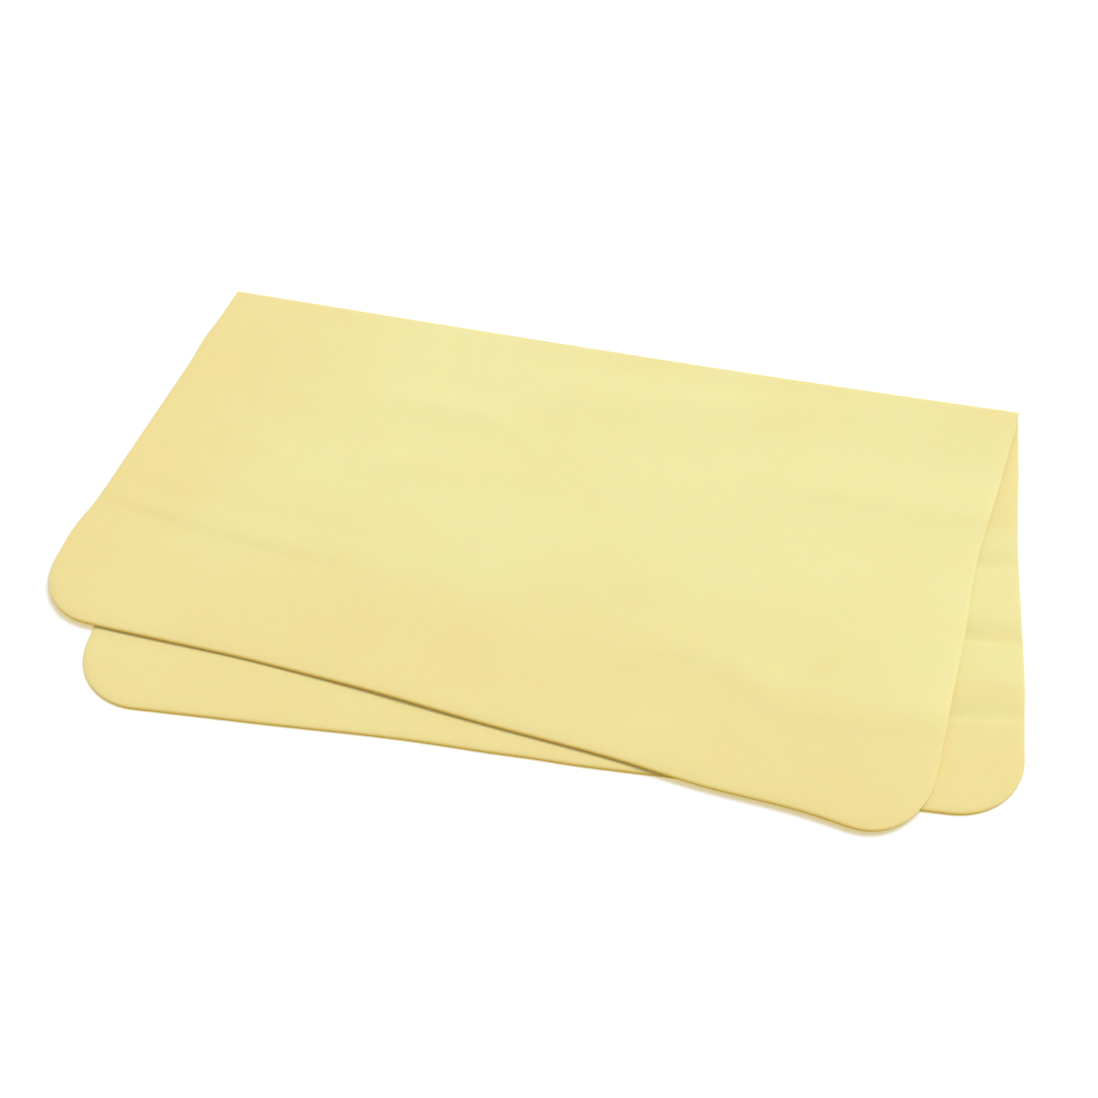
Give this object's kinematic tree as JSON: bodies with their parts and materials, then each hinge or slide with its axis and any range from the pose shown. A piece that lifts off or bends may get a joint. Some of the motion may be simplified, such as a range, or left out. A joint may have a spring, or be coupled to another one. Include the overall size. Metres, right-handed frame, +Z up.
{
  "type": "chamois cloth",
  "caption": "Soft rectangular chamois cloth with rounded corners, folded once slightly askew and lying flat; the upper leaf unfolds about the soft bend.",
  "frame": {"origin": "on the table, under the middle of the folded cloth's bounding box", "axes": "+X along the fold, +Y towards the fold, +Z up from the table"},
  "size_m": [0.4738, 0.2914, 0.0068],
  "materials": {
    "chamois": "soft matte, faint nap"
  },
  "bodies": {
    "lower": {"lower_leaf": "chamois", "fold_bend": "chamois"},
    "upper": {"upper_leaf": "chamois"}
  },
  "joints": [
    {"name": "unfold", "type": "hinge", "parent": "lower", "child": "upper", "pos_m": [0, 0.145, 0.0035], "axis": [-1, 0, 0], "range_deg": [0, 178], "deforming": ["fold_bend"]}
  ]
}
